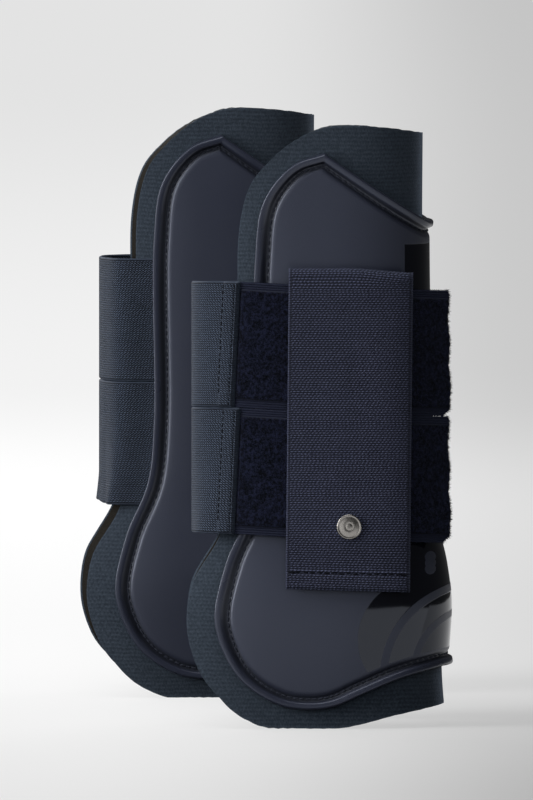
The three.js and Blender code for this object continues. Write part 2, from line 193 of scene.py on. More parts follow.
# Two of each boot's joints, in the boot's own millimetres. They give the boot's place.
SWING_AT = np.array([-31.5, -31.2])
HINGE_AT = np.array([8.0, 40.9])


# ---- small mathematics --------------------------------------------------------------------------


def smooth(value, low, high):
    t = np.clip((np.asarray(value, float) - low) / (high - low), 0, 1)
    return t * t * (3 - 2 * t)


def mix(a, b, t):
    return a + (b - a) * t


def column(index):
    """A smooth function of z through the rows of SECTIONS, for one of its columns."""
    heights, values = SECTIONS[:, 0], SECTIONS[:, index]
    before = np.maximum(np.arange(len(values)) - 1, 0)
    after = np.minimum(np.arange(len(values)) + 1, len(values) - 1)
    slopes = (values[after] - values[before]) / (heights[after] - heights[before])

    def at(z):
        z = np.asarray(z, float)
        i = np.clip(np.searchsorted(heights, z, side="right") - 1, 0, len(values) - 2)
        width = heights[i + 1] - heights[i]
        t = np.clip((z - heights[i]) / width, 0, 1)
        t2, t3 = t ** 2, t ** 3
        return ((2 * t3 - 3 * t2 + 1) * values[i] + (t3 - 2 * t2 + t) * width * slopes[i]
                + (3 * t2 - 2 * t3) * values[i + 1] + (t3 - t2) * width * slopes[i + 1])

    return at


back_at, front_at, half_width_at = column(1), column(2), column(3)


def oval(z, offset, front=None):
    """The superellipse at height z, grown by offset, as its middle and half axes."""
    front = front_at(z) if front is None else front
    back = back_at(z)
    return (back + front) / 2, (back - front) / 2 + offset, half_width_at(z) + offset


def on_oval(shape, angle):
    middle, a, b = shape
    c, s = np.cos(angle), np.sin(angle)
    total = np.abs(c / a) ** ROUNDNESS + np.abs(s / b) ** ROUNDNESS
    radius = total ** (-1 / ROUNDNESS)
    return middle + radius * c, radius * s


def angle_at_x(shape, x):
    """The angle of the lateral point of an oval that has this x."""
    middle, a, b = shape
    across = np.clip((x - middle) / a, -1, 1)
    w = b * (1 - np.abs(across) ** ROUNDNESS) ** (1 / ROUNDNESS)
    return np.arctan2(w, x - middle)


def surface(angle, z, offset):
    x, w = on_oval(oval(z, offset), angle)
    return np.stack(np.broadcast_arrays(x, w, z), axis=-1)


def lateral(x, z, offset, lift=0.0):
    """The w of the lateral side at x, at an offset that grows by lift at the flap's back edge."""
    shape = oval(z, offset + lift * smooth(x, 8, FLAP_X[1]))
    return on_oval(shape, angle_at_x(shape, x))[1]


def spline(points, before=None, after=None, per_span=40):
    """A centripetal Catmull-Rom curve through the points. before and after are the points that it
    would come from and go on to, which set its directions at its ends."""
    points = np.array(points, float)
    first = 2 * points[0] - points[1] if before is None else before
    last = 2 * points[-1] - points[-2] if after is None else after
    padded = np.vstack([first, points, last])
    t = np.linspace(0, 1, per_span, endpoint=False)[:, None]
    spans = []
    for p0, p1, p2, p3 in zip(padded, padded[1:], padded[2:], padded[3:]):
        d0, d1, d2 = (math.sqrt(np.linalg.norm(b - a)) for a, b in ((p0, p1), (p1, p2), (p2, p3)))
        m1 = ((p1 - p0) / d0 - (p2 - p0) / (d0 + d1) + (p2 - p1) / d1) * d1
        m2 = ((p2 - p1) / d1 - (p3 - p1) / (d1 + d2) + (p3 - p2) / d2) * d1
        spans.append((2 * t ** 3 - 3 * t ** 2 + 1) * p1 + (t ** 3 - 2 * t ** 2 + t) * m1
                     + (3 * t ** 2 - 2 * t ** 3) * p2 + (t ** 3 - t ** 2) * m2)
    return np.vstack([*spans, points[-1:]])


def laid_out(points, offset, ends_at_tendon, before=None, after=None):
    """A side-view outline laid out flat: from a share of its length to its angle and z."""
    line = spline(points, before, after)
    z = np.maximum(line[:, 1], 0)
    angle = angle_at_x(oval(z, offset), line[:, 0])
    if ends_at_tendon:
        angle[-1] = 0
    steps = np.hypot(np.diff(angle) * MEAN_RADIUS, np.diff(z))
    along = np.concatenate([[0], np.cumsum(steps)])

    def at(share):
        length = np.asarray(share, float) * along[-1]
        return np.stack([np.interp(length, along, angle), np.interp(length, along, z)], axis=-1)

    return at


def outline_runs(outline, offset):
    """An outline's front, bottom and top runs. They meet smoothly, except at the shell's pointed
    top corner."""
    pointed = outline is SHELL_OUTLINE
    front = laid_out(outline["front"], offset, False, outline["bottom"][1],
                     None if pointed else outline["top"][1])
    bottom = laid_out(outline["bottom"], offset, True, outline["front"][1])
    top = laid_out(outline["top"], offset, True, None if pointed else outline["front"][-2])
    return front, bottom, top


def wrap(outline, offset):
    """Fills an outline on both sides of the leg. u runs from the lateral front edge (0) round the
    tendon (0.5) to the medial front edge (1), and v from the bottom up. Gives angle and z."""
    front, bottom, top = outline_runs(outline, offset)
    low, high = bottom(1), top(1)

    def at(u, v):
        share = (1 - np.abs(1 - 2 * u))[..., None]
        up = np.asarray(v, float)[..., None]
        back = mix(low, high, up)
        flat = ((1 - share) * front(v) + share * back
                + (1 - up) * bottom(share[..., 0]) + up * top(share[..., 0])
                - (1 - share) * ((1 - up) * front(0) + up * front(1))
                - share * mix(low, high, up))
        return np.where(u <= 0.5, flat[..., 0], -flat[..., 0]), flat[..., 1]

    return at


def edge_lines(total, fine_to, fine, coarse):
    """Distances from 0 to total: a fine step near 0, then coarse ones, ending at total."""
    near = np.arange(0, fine_to, fine)
    count = max(int(round((total - fine_to) / coarse)), 1)
    return np.concatenate([near, np.linspace(fine_to, total, count + 1)])


def both_ends(total, fine_to, fine, coarse):
    """Shares from 0 to 1 with fine steps near both ends."""
    half = edge_lines(total / 2, fine_to, fine, coarse) / total
    return np.concatenate([half, 1 - half[-2::-1]])


# ---- the boots ----------------------------------------------------------------------------------


class Boot:
    """One boot: its side's name, and its place worked out from two of its joints."""

    def __init__(self, side):
        self.side = side
        self.mirror = -1 if side == "left" else 1
        at = {j["name"]: np.array(j.get("pos_m") or [0, 0, 0]) / MM for j in frame["joints"]}
        swing = at[f"{side}_upper_strap_swing"][:2]
        hinge = at[f"{side}_flap_hinge"][:2]
        here, there = hinge - swing, (HINGE_AT - SWING_AT) * (1, self.mirror)
        turn = math.atan2(here[1], here[0]) - math.atan2(there[1], there[0])
        c, s = math.cos(turn), math.sin(turn)
        self.rotation = np.array([[c, -s], [s, c]])
        self.origin = swing - self.rotation @ (SWING_AT * (1, self.mirror))

    def name(self, piece):
        return f"{self.side}_{piece}"

    def place(self, points):
        """Points in the boot's millimetres, in the row frame's metres."""
        points = np.asarray(points, float)
        flat = points[..., :2] * (1, self.mirror) @ self.rotation.T + self.origin
        return np.concatenate([flat, points[..., 2:]], axis=-1) * MM

    def solid(self, piece, inner, outer, marks, cloth, sharp=50):
        """The closed mesh between two grids of the same size."""
        points, faces = closed_sheet(inner, outer)
        return self.build(piece, points, faces, cloth, marks, sharp)

    def build(self, piece, points, faces, cloth, marks=None, sharp=50):
        """A closed mesh. marks are three numbers a point, kept as the attribute 'cloth'."""
        world = self.place(points)
        mesh = bpy.data.meshes.new(self.name(piece))
        faces = [list(f) for f in faces]
        if signed_volume(world, faces) < 0:
            faces = [f[::-1] for f in faces]
        mesh.from_pydata(world.tolist(), [], faces)
        mesh.shade_smooth()
        mesh.set_sharp_from_angle(angle=math.radians(sharp))
        if marks is not None:
            attribute = mesh.attributes.new("cloth", "FLOAT_VECTOR", "POINT")
            attribute.data.foreach_set("vector", np.asarray(marks, np.float32).ravel())
        local = mesh.attributes.new("boot", "FLOAT_VECTOR", "POINT")
        local.data.foreach_set("vector", np.asarray(points, np.float32).ravel())
        mesh.materials.append(FABRIC[cloth])
        piece_object = bpy.data.objects.new(self.name(piece), mesh)
        bpy.context.scene.collection.objects.link(piece_object)
        return piece_object


def signed_volume(points, faces):
    corners = np.array([(f[0], f[i], f[i + 1]) for f in faces for i in range(1, len(f) - 1)])
    a, b, c = (points[corners[:, k]] for k in range(3))
    return (a * np.cross(b, c)).sum()


def closed_sheet(inner, outer):
    """Points and faces of the solid between two grids of the same size."""
    rows, columns = inner.shape[:2]
    count = rows * columns
    ids = np.arange(count).reshape(rows, columns)
    low, high = ids, ids + count

    def quads(a, b, c, d):
        return np.stack([a.ravel(), b.ravel(), c.ravel(), d.ravel()], axis=-1)

    faces = [
        quads(high[:-1, :-1], high[:-1, 1:], high[1:, 1:], high[1:, :-1]),
        quads(low[:-1, :-1], low[1:, :-1], low[1:, 1:], low[:-1, 1:]),
        quads(low[:-1, 0], high[:-1, 0], high[1:, 0], low[1:, 0]),
        quads(high[:-1, -1], low[:-1, -1], low[1:, -1], high[1:, -1]),
        quads(high[0, :-1], low[0, :-1], low[0, 1:], high[0, 1:]),
        quads(low[-1, :-1], high[-1, :-1], high[-1, 1:], low[-1, 1:]),
    ]
    points = np.concatenate([inner.reshape(-1, 3), outer.reshape(-1, 3)])
    return points, np.concatenate(faces)


def grid_marks(along, across, edge):
    """The three marks of each point of a closed sheet."""
    one = np.stack(np.broadcast_arrays(along, across, edge), axis=-1).reshape(-1, 3)
    return np.concatenate([one, one])


def rounded(edge, radius):
    """How much of its thickness a sheet has at a distance from its edge."""
    t = np.clip(edge / radius, 0.02, 1)
    return np.sqrt(1 - (1 - t) ** 2)


def capsule(length, width, height, rings=5, sides=6):
    """A stitch lying along x: points and faces."""
    points = [(-length / 2, 0, 0)]
    for i in range(rings):
        t = (i + 0.5) / rings
        girth = math.sqrt(1 - abs(2 * t - 1) ** 3)
        for k in range(sides):
            turn = math.tau * k / sides
            points.append(((t - 0.5) * length, math.cos(turn) * girth * width / 2,
                           math.sin(turn) * girth * height / 2))
    points.append((length / 2, 0, 0))
    faces = [(0, 1 + (k + 1) % sides, 1 + k) for k in range(sides)]
    for i in range(rings - 1):
        a, b = 1 + i * sides, 1 + (i + 1) * sides
        faces += [(a + k, a + (k + 1) % sides, b + (k + 1) % sides, b + k) for k in range(sides)]
    last, end = 1 + (rings - 1) * sides, len(points) - 1
    faces += [(last + k, last + (k + 1) % sides, end) for k in range(sides)]
    return np.array(points), faces


def stitches(boot, piece, places, directions, normals, cloth, length=2.4, width=0.75,
             height=0.55, seed=1):
    """Thread at places of the boot's frame, along directions, on a surface with these normals."""
    form, form_faces = capsule(length, width, height)
    rng = np.random.default_rng(seed)
    points, faces = [], []
    for place, along, normal in zip(places, directions, normals):
        along = along / np.linalg.norm(along)
        normal = normal - along * (normal @ along)
        normal = normal / np.linalg.norm(normal)
        across = np.cross(normal, along)
        lean = rng.normal(0, 0.09)
        along, across = along + lean * across, across - lean * along
        basis = np.stack([along * rng.uniform(0.88, 1.05), across, normal])
        faces += [tuple(i + len(points) * len(form) for i in f) for f in form_faces]
        points.append(place + form @ basis)
    return boot.build(piece, np.concatenate(points), faces, cloth)


# ---- materials ----------------------------------------------------------------------------------


class Paint:
    """A Principled material and short ways to wire values into it. A value is a number, a colour
    or the output of a node."""

    def __init__(self, name, **values):
        self.material = bpy.data.materials.new(name)
        self.material.use_nodes = True
        self.tree = self.material.node_tree
        self.shader = self.tree.nodes["Principled BSDF"]
        for key, value in values.items():
            self.set(key.replace("_", " "), value)

    def node(self, kind):
        return self.tree.nodes.new("ShaderNode" + kind)

    def link(self, value, socket):
        if isinstance(value, tuple):
            socket.default_value = (*value, 1)
        elif isinstance(value, (int, float)):
            socket.default_value = value
        else:
            self.tree.links.new(value, socket)

    def set(self, socket, value):
        self.link(value, self.shader.inputs[socket])

    def math(self, operation, *values, clamp=False):
        node = self.node("Math")
        node.operation = operation
        node.use_clamp = clamp
        for value, socket in zip(values, node.inputs):
            self.link(value, socket)
        return node.outputs[0]

    def plus(self, first, second, clamp=False):
        return self.math("ADD", first, second, clamp=clamp)

    def times(self, first, second):
        return self.math("MULTIPLY", first, second)

    def times_plus(self, first, second, third):
        return self.math("MULTIPLY_ADD", first, second, third)

    def without(self, value):
        """1 less the value."""
        return self.math("SUBTRACT", 1.0, value)

    def most(self, first, second):
        return self.math("MAXIMUM", first, second)

    def span(self, value, low, high):
        """value from 0 to 1 turned into low to high."""
        return self.times_plus(value, high - low, low)

    def wave(self, value, period):
        """A sine of value with this period, from 0 to 1."""
        return self.times_plus(self.math("SINE", self.times(value, math.tau / period)), 0.5, 0.5)

    def step(self, value, low, high):
        """0 below low, 1 above high, smooth between them. low may be above high."""
        node = self.node("MapRange")
        node.interpolation_type = "SMOOTHSTEP"
        if low > high:
            low, high = high, low
            node.inputs["To Min"].default_value = 1.0
            node.inputs["To Max"].default_value = 0.0
        self.link(value, node.inputs["Value"])
        node.inputs["From Min"].default_value = low
        node.inputs["From Max"].default_value = high
        return node.outputs["Result"]

    def attribute(self, name):
        node = self.node("Attribute")
        node.attribute_name = name
        return node.outputs["Vector"]

    def parts(self, vector):
        """The three numbers of a vector."""
        node = self.node("SeparateXYZ")
        self.link(vector, node.inputs[0])
        return node.outputs

    def noise(self, scale, detail=3.0, roughness=0.6, stretch=(1, 1, 1)):
        """Noise over the boot's own millimetres, about 0 to 1."""
        mapping = self.node("Mapping")
        mapping.inputs["Scale"].default_value = [scale * k for k in stretch]
        self.link(self.attribute("boot"), mapping.inputs["Vector"])
        node = self.node("TexNoise")
        self.link(mapping.outputs[0], node.inputs["Vector"])
        for key, value in (("Scale", 1.0), ("Detail", detail), ("Roughness", roughness)):
            node.inputs[key].default_value = value
        return node.outputs["Fac"]

    def mixed(self, share, first, second):
        """The colour that is first where share is 0 and second where it is 1."""
        node = self.node("Mix")
        node.data_type = "RGBA"
        for key, value in (("Factor", share), ("A", first), ("B", second)):
            self.link(value, node.inputs[key])
        return node.outputs["Result"]

    def colour(self, share, first, second):
        self.set("Base Color", self.mixed(share, first, second))

    def bump(self, height, distance, strength=1.0):
        """Bump whose height of 1 stands for distance millimetres."""
        node = self.node("Bump")
        node.inputs["Distance"].default_value = distance * MM
        node.inputs["Strength"].default_value = strength
        self.link(height, node.inputs["Height"])
        self.set("Normal", node.outputs[0])


def knitted(name, dark, light, rib, stitch):
    """Knitted fabric: fine courses across, with loops along them and some unevenness. A painted
    highlight lightens the cut edge."""
    p = Paint(name, Roughness=0.9, Sheen_Weight=0.2, Sheen_Roughness=0.45,
              Sheen_Tint=(0.6, 0.75, 1), Specular_IOR_Level=0.2)
    along, across, edge = p.parts(p.attribute("cloth"))
    drifting = p.plus(across, p.times(p.noise(0.05, 2), 2.2))
    row = p.math("FLOOR", p.math("DIVIDE", drifting, rib))
    loops = p.wave(p.plus(along, p.times(row, stitch * 0.5)), stitch)
    height = p.times_plus(p.wave(drifting, rib), 0.12, p.times(loops, 0.08))
    height = p.times_plus(p.noise(0.9, 4, 0.8), 0.9, height)
    # painted highlight: the colour is lighter near the cut edge
    cut_edge_highlight = p.times(p.step(edge, 0.9, 0.2), 0.5)
    p.colour(p.plus(p.step(height, 0.35, 0.8), cut_edge_highlight, clamp=True), dark, light)
    p.bump(height, 0.25, 0.9)
    return p.material


def foam():
    p = Paint("neoprene foam", Roughness=0.93, Specular_IOR_Level=0.15)
    cells = p.noise(2.6, 3, 0.7)
    p.colour(cells, (0.006, 0.0055, 0.0048), (0.022, 0.019, 0.015))
    p.bump(cells, 0.3, 0.9)
    return p.material


def woven(name, dark, light, row, dash, shift, slant, jitter, gap, ridged, ramp, depth, selvedge):
    """Webbing of slanted dashes in rows. row and dash are their sizes. Each row is moved along by
    shift of a dash, give or take the jitter. gap is how deep the dips between a row's dashes are,
    and ridged how deep the dips between the rows are. The heights in ramp are dark and light.
    The colour has random wear and a painted highlight along the edges and the folded end."""
    p = Paint(name, Roughness=0.8, Sheen_Weight=0.05, Sheen_Roughness=0.4,
              Sheen_Tint=(0.6, 0.72, 1), Specular_IOR_Level=0.15)
    along, across, edge = p.parts(p.attribute("cloth"))
    uneven = p.times(p.noise(0.25, 2), 0.5)
    at_row = p.math("DIVIDE", across, row)
    number = p.math("FLOOR", at_row)
    in_row = p.math("FRACT", at_row)
    chance = p.node("TexWhiteNoise")
    chance.noise_dimensions = "1D"
    p.link(number, chance.inputs["W"])
    moved = p.math("DIVIDE", p.plus(along, uneven), dash)
    for value, share in ((number, shift), (in_row, slant), (chance.outputs["Value"], jitter)):
        moved = p.times_plus(value, share, moved)
    ridge = p.span(p.wave(p.plus(in_row, 0.75), 1.0), 1.0 - ridged, 1.0)
    dashes = p.span(p.step(p.wave(moved, 1.0), 0.1, 0.95), 1.0 - gap, 1.0)
    height = p.times_plus(p.noise(2.4, 3, 0.7), 0.45, p.times(dashes, ridge))
    inside = p.step(edge, selvedge * 0.7, selvedge)
    plain = p.times(p.times(p.wave(across, row), 0.6), p.without(inside))
    height = p.plus(p.times(height, inside), plain)
    # random wear over the face, and a painted highlight within about 0.9 mm of the edges and the
    # folded end
    wear_and_edge_highlight = p.times(p.noise(0.08, 3), 0.12)
    wear_and_edge_highlight = p.times_plus(p.step(edge, 0.9, 0.25), 0.3, wear_and_edge_highlight)
    p.colour(p.plus(p.step(height, *ramp), wear_and_edge_highlight, clamp=True), dark, light)
    p.bump(height, depth)
    return p.material


def napped():
    """Loop pile: deep and soft, in small tufts, with a plain woven selvedge."""
    p = Paint("loop pile", Roughness=0.95, Sheen_Weight=0.05, Sheen_Roughness=0.5,
              Sheen_Tint=(0.5, 0.56, 0.75), Specular_IOR_Level=0.05)
    _, across, edge = p.parts(p.attribute("cloth"))
    tufts = p.noise(0.8, 4, 0.9)
    pile = p.times_plus(p.noise(0.3, 2, 0.6), 0.2, tufts)
    plain = p.times_plus(p.wave(across, 0.95), 0.35, p.times(tufts, 0.2))
    nap = p.step(edge, SELVEDGE - 0.5, SELVEDGE + 0.4)
    height = p.plus(p.times(pile, nap), p.times(plain, p.without(nap)))
    deep = p.mixed(p.step(height, 0.5, 0.74), (0.0004, 0.0006, 0.0016), (0.0135, 0.0165, 0.039))
    p.colour(nap, (0.014, 0.0165, 0.031), deep)
    p.bump(height, 1.4)
    return p.material


def thread(name, colour):
    p = Paint(name, Roughness=0.8, Specular_IOR_Level=0.1)
    twist = p.noise(2.5, 2)
    p.colour(twist, tuple(0.5 * c for c in colour), colour)
    p.bump(twist, 0.12, 0.6)
    return p.material


def within_circle(p, x, z, centre, radius):
    """1 inside a circle of the side view and 0 outside it."""
    dx = p.math("SUBTRACT", x, centre[0])
    dz = p.math("SUBTRACT", z, centre[1])
    away = p.math("SQRT", p.plus(p.times(dx, dx), p.times(dz, dz)))
    return p.step(away, radius + 0.25, radius - 0.25)


def moulded():
    """Matt moulded plastic with a glossy field at the tendon, crossed by plain matt arcs, and
    painted shade darkening the groove between the rim and the panel.
    """
    p = Paint("moulded shell", Specular_IOR_Level=0.5, Specular_Tint=(0.8, 0.86, 1))
    x, _, z = p.parts(p.attribute("boot"))
    _, _, edge = p.parts(p.attribute("cloth"))
    front, bottom, top = GLOSS_STRIP.values()
    strip = p.times(p.step(x, front - 0.15, front + 0.15), p.step(z, top + 0.15, top - 0.15))
    strip = p.times(strip, p.step(z, bottom - 0.25, bottom + 0.25))
    gloss = p.most(strip, within_circle(p, x, z, *GLOSS_DISC))
    arcs = 0.0
    for centre, radius, width in MATT_ARCS:
        inside = within_circle(p, x, z, centre, radius - width / 2)
        ring = p.math("SUBTRACT", within_circle(p, x, z, centre, radius + width / 2), inside)
        arcs = p.most(arcs, ring)
    for centre in MATT_DOTS:
        arcs = p.most(arcs, within_circle(p, x, z, centre, MATT_DOT_RADIUS))
    on_panel = p.step(edge, 7.4, 7.8)
    gloss = p.times(p.times(gloss, p.without(arcs)), on_panel)
    rim = p.step(edge, 3.6, 3.1)
    # painted shade: the groove between the rim and the panel is coloured darker
    groove = p.times(p.step(edge, 3.1, 3.6), p.step(edge, 6.3, 5.3))
    haze = p.noise(0.035, 3, 0.5)
    matt = p.times_plus(rim, -0.12, p.span(haze, 0.34, 0.48))
    p.set("Roughness", p.plus(p.times(matt, p.without(gloss)), p.times(gloss, 0.07)))
    base = p.mixed(gloss, (0.0195, 0.0225, 0.0365), (0.004, 0.0042, 0.0068))
    p.colour(groove, base, (0.0085, 0.0098, 0.0155))
    p.bump(p.times(p.noise(1.6, 3, 0.55), p.without(gloss)), 0.06, 0.8)
    return p.material


def metal():
    """Brushed, slightly tarnished metal."""
    p = Paint("badge metal", Metallic=1.0)
    tarnish = p.noise(0.7, 3)
    p.colour(tarnish, (0.2, 0.19, 0.175), (0.34, 0.325, 0.31))
    p.set("Roughness", p.span(tarnish, 0.2, 0.34))
    p.bump(p.noise(3.0, 2, stretch=(0.3, 1, 3)), 0.006, 0.5)
    return p.material


FABRIC = {
    "lining": knitted("knitted lining", (0.006, 0.009, 0.015), (0.02, 0.028, 0.042), 1.3, 1.0),
    "facing": knitted("knitted facing", (0.0125, 0.018, 0.0265), (0.034, 0.046, 0.063), 1.67, 1.1),
    "elastic": woven("woven elastic", (0.003, 0.0042, 0.008), (0.068, 0.09, 0.133), row=0.95,
                     dash=1.3, shift=1.1, slant=1.1, jitter=0.35, gap=1.0, ridged=0.55,
                     ramp=(0.58, 1.08), depth=0.42, selvedge=1.2),
    "hook_tape": woven("hook tape", (0.003, 0.0036, 0.0075), (0.067, 0.076, 0.13), row=0.94,
                       dash=1.55, shift=-0.45, slant=-0.3, jitter=0.45, gap=0.6, ridged=1.0,
                       ramp=(0.3, 1.2), depth=0.36, selvedge=1.6),
    "loop": napped(),
    "core": foam(),
    "thread": thread("dark thread", (0.0035, 0.0042, 0.008)),
    "groove_thread": thread("groove thread", (0.028, 0.032, 0.046)),
    "shell": moulded(),
    "metal": metal(),
}


# ---- the wrap: lining, core, facing and shell ---------------------------------------------------


def add_layer(boot, piece, span, cloth):
    """One layer of the liner, with a slightly uneven cut edge."""
    width, height = LINER_SPREAD
    us, vs = np.meshgrid(both_ends(width, 3, 0.75, 1.8), both_ends(height, 3, 0.75, 2.6))
    angle, z = wrap(LINER_OUTLINE, FACING[1])(us, vs)
    z = z - LINER_FALL * smooth(z, 5, 45) * (1 + LINER_LOW_SIDE[boot.side] * np.sin(angle)) / 2
    along = angle * MEAN_RADIUS
    cut = np.abs(np.sin(along * 0.9) + np.sin(along * 2.3 + 1) + np.sin(along * 4.1)) / 3
    near_cut = smooth(vs, 0.012, 0) - smooth(vs, 0.988, 1)
    z = z + 0.45 * cut * near_cut
    edge = np.minimum(np.minimum(us, 1 - us) * width, np.minimum(vs, 1 - vs) * height)
    made = boot.solid(piece, surface(angle, z, span[0]), surface(angle, z, span[1]),
                      grid_marks(along, z, edge), cloth)
    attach(made, boot.name("boot"))
    return made


def shell_edge_x(z):
    """The x of the shell's front edge."""
    points = np.array(SHELL_OUTLINE["front"])
    return np.interp(z, points[:, 1], points[:, 0])


def shell_inner_at(angle, z):
    """The shell's inside stands off the facing where the straps' ends are sewn in."""
    low = STRAPS["lower"] - STRAP_WIDTH / 2
    high = STRAPS["upper"] + STRAP_WIDTH / 2
    edge = -angle_at_x(oval(z, SHELL_OUTER), shell_edge_x(z))
    behind = np.abs(angle - edge) * (half_width_at(z) + SHELL_OUTER)
    here = smooth(z, low - 16, low - 5) * (1 - smooth(z, high + 5, high + 16))
    here = here * (1 - smooth(behind, ANCHOR_LENGTH + 6, ANCHOR_LENGTH + 14))
    return mix(SHELL_INNER, POCKET_INNER, np.where(angle < 0, here, 0))


def shell_border():
    """Points along the shell's border from the tendon at the top, round the lateral front, to the
    tendon at the bottom, as angle and z."""
    share = np.linspace(0, 1, 2500)
    front, bottom, top = outline_runs(SHELL_OUTLINE, RIM_OUTER)
    runs = [top(share), front(share), bottom(share)]
    return np.concatenate([runs[0][::-1], runs[1][::-1][1:], runs[2][1:]])


def distance_from(border, points):
    tree = KDTree(len(border))
    for i, place in enumerate(border):
        tree.insert(place, i)
    tree.balance()
    found = [tree.find(p)[2] for p in points.reshape(-1, 3)]
    return np.array(found).reshape(points.shape[:-1])


def shell_grids():
    """The shell's inside and outside grids and each point's marks, in the boot's frame."""
    width, height = SHELL_SPREAD
    us, vs = np.meshgrid(both_ends(width, 10, 0.3, 2.0), both_ends(height, 11, 0.33, 1.5))
    angle, z = wrap(SHELL_OUTLINE, RIM_OUTER)(us, vs)
    side = shell_border()
    border = np.concatenate([surface(side[:, 0] * sign, side[:, 1], SHELL_OUTER)
                             for sign in (1, -1)])
    away = distance_from(border, surface(angle, z, SHELL_OUTER))
    spread = (-0.15, 0.0, 0.15)
    offset = sum(np.interp(np.maximum(away + k, 0), *SHELL_PROFILE.T) for k in spread) / 3
    rim_fall = np.interp(away, [0, 0.1], [0, 1])
    offset = mix(SHELL_PROFILE[0, 1], offset, rim_fall)
    inner = np.minimum(shell_inner_at(angle, z), offset - 0.15)
    marks = grid_marks(angle * MEAN_RADIUS, z, away)
    return surface(angle, z, inner), surface(angle, z, offset), marks


def groove_stitches():
    """Places, directions and normals of the stitches in the shell's groove, on both sides."""
    side = shell_border()
    line = surface(side[:, 0], side[:, 1], SHELL_OUTER)
    along = np.concatenate([[0], np.cumsum(np.linalg.norm(np.diff(line, axis=0), axis=1))])
    at = np.arange(GROOVE_PITCH, along[-1] - GROOVE_PITCH, GROOVE_PITCH)
    sample, ahead = (np.stack([np.interp(at + more, along, line[:, k]) for k in range(3)], axis=-1)
                     for more in (0, 0.6))
    direction = ahead - sample
    direction /= np.linalg.norm(direction, axis=1)[:, None]
    normal = surface_normal(sample)
    inward = np.cross(normal, direction)
    towards = np.array([5.0, 0.0, 120.0]) - sample
    towards[:, 1] = 0
    inward *= np.where((inward * towards).sum(1) < 0, -1, 1)[:, None]
    moved = sample + inward * GROOVE_MIDDLE
    middle = (back_at(moved[:, 2]) + front_at(moved[:, 2])) / 2
    angle = np.arctan2(moved[:, 1], moved[:, 0] - middle)
    keep = angle > 0.02
    places = surface(angle, moved[:, 2], GROOVE_FLOOR + 0.15)
    return [np.concatenate([rows[keep], rows[keep] * (1, -1, 1)])
            for rows in (places, direction, normal)]


def surface_normal(points):
    """The outward normal of the superellipse through points, ignoring its change with height."""
    z = points[:, 2]
    a = (back_at(z) - front_at(z)) / 2 + SHELL_OUTER
    b = half_width_at(z) + SHELL_OUTER
    power = ROUNDNESS - 1
    dx = (points[:, 0] - (back_at(z) + front_at(z)) / 2) / a
    dw = points[:, 1] / b
    nx, nw = np.sign(dx) * np.abs(dx) ** power / a, np.sign(dw) * np.abs(dw) ** power / b
    normal = np.stack([nx, nw, np.zeros(len(points))], axis=-1)
    return normal / np.linalg.norm(normal, axis=1)[:, None]


# ---- straps -------------------------------------------------------------------------------------


def strap_line(z, strap_front):
    """The strap's middle line at one height seen from above, from its sewn-in end round the front
    to its tail: an array of (x, w)."""
    edge = angle_at_x(oval(z, ANCHOR_MIDDLE), shell_edge_x(z))
    turn = ANCHOR_LENGTH / (half_width_at(z) + ANCHOR_MIDDLE)
    tail = math.tau - angle_at_x(oval(z, LOOP_MIDDLE), TAIL_FROM_X)
    angle = np.linspace(edge - turn, tail, 241)
    out = smooth(angle, edge, edge + 0.3)[:, None]
    offset = mix(FRONT_MIDDLE, LOOP_MIDDLE, smooth(angle, math.pi, math.pi + 0.6))
    front = mix(strap_front, front_at(z), smooth(np.abs(angle - math.pi), 0.3, 0.8))
    sewn = np.stack(on_oval(oval(z, ANCHOR_MIDDLE), -angle), axis=-1)
    free = np.stack(on_oval(oval(z, offset, front), -angle), axis=-1)
    line = mix(sewn, free, out)
    slope = (line[-1, 1] - line[-2, 1]) / (line[-1, 0] - line[-2, 0])
    tail_x = np.linspace(TAIL_FROM_X, TAIL_END_X + 2, 12)[1:]
    tail_w = line[-1, 1] + slope * (tail_x - line[-1, 0])
    return np.vstack([line, np.stack([tail_x, tail_w], axis=-1)])


def strap_lengths(line):
    """The length along a strap line at each of its points."""
    return np.concatenate([[0], np.cumsum(np.hypot(*np.diff(line, axis=0).T))])


def strap_grid(boot, middle_z, start, end, along_lines, across_lines, face, end_margin=0.0):
    """Grids of a piece of strap. start and end give the places along the line where it begins and
    ends. face gives the offsets of its inside (-1) and outside (1) from the line, at distances
    from its ends and edges."""
    rows_in, rows_out, rows_mark = [], [], []
    for across in across_lines:
        height = (across - 0.5) * STRAP_WIDTH
        z = middle_z + height
        line = strap_line(z, STRAP_FRONT[boot.side])
        lengths = strap_lengths(line)
        tangent = np.gradient(line, lengths, axis=0)
        tangent /= np.linalg.norm(tangent, axis=1)[:, None]
        first, last = start(line, lengths, height), end(line, lengths, height)
        at = mix(first, last, along_lines)
        edge = min(across, 1 - across) * STRAP_WIDTH
        place = np.stack([np.interp(at, lengths, line[:, k]) for k in (0, 1)], axis=-1)
        facing = np.stack([np.interp(at, lengths, -tangent[:, 1]),
                           np.interp(at, lengths, tangent[:, 0])], axis=-1)
        for rows, side in ((rows_in, -1), (rows_out, 1)):
            offset = face(side, at - first, last - at, np.full(len(at), edge), height)
            x, w = (place + facing * np.asarray(offset)[:, None]).T
            fall = np.where(w > 0, STRAP_FALL * np.maximum(x - SEAM_X, 0), 0)
            fall = fall + STRAP_TILT[boot.side] * np.maximum(STRAP_TILT_FROM - w, 0) * (x < 0)
            rows.append(np.stack([x, w, z - fall], axis=-1))
        rows_mark.append(np.stack([at, np.full(len(at), height),
                                   np.minimum(edge, last - at + end_margin)], axis=-1))
    marks = np.array(rows_mark).reshape(-1, 3)
    return np.array(rows_in), np.array(rows_out), np.concatenate([marks, marks])


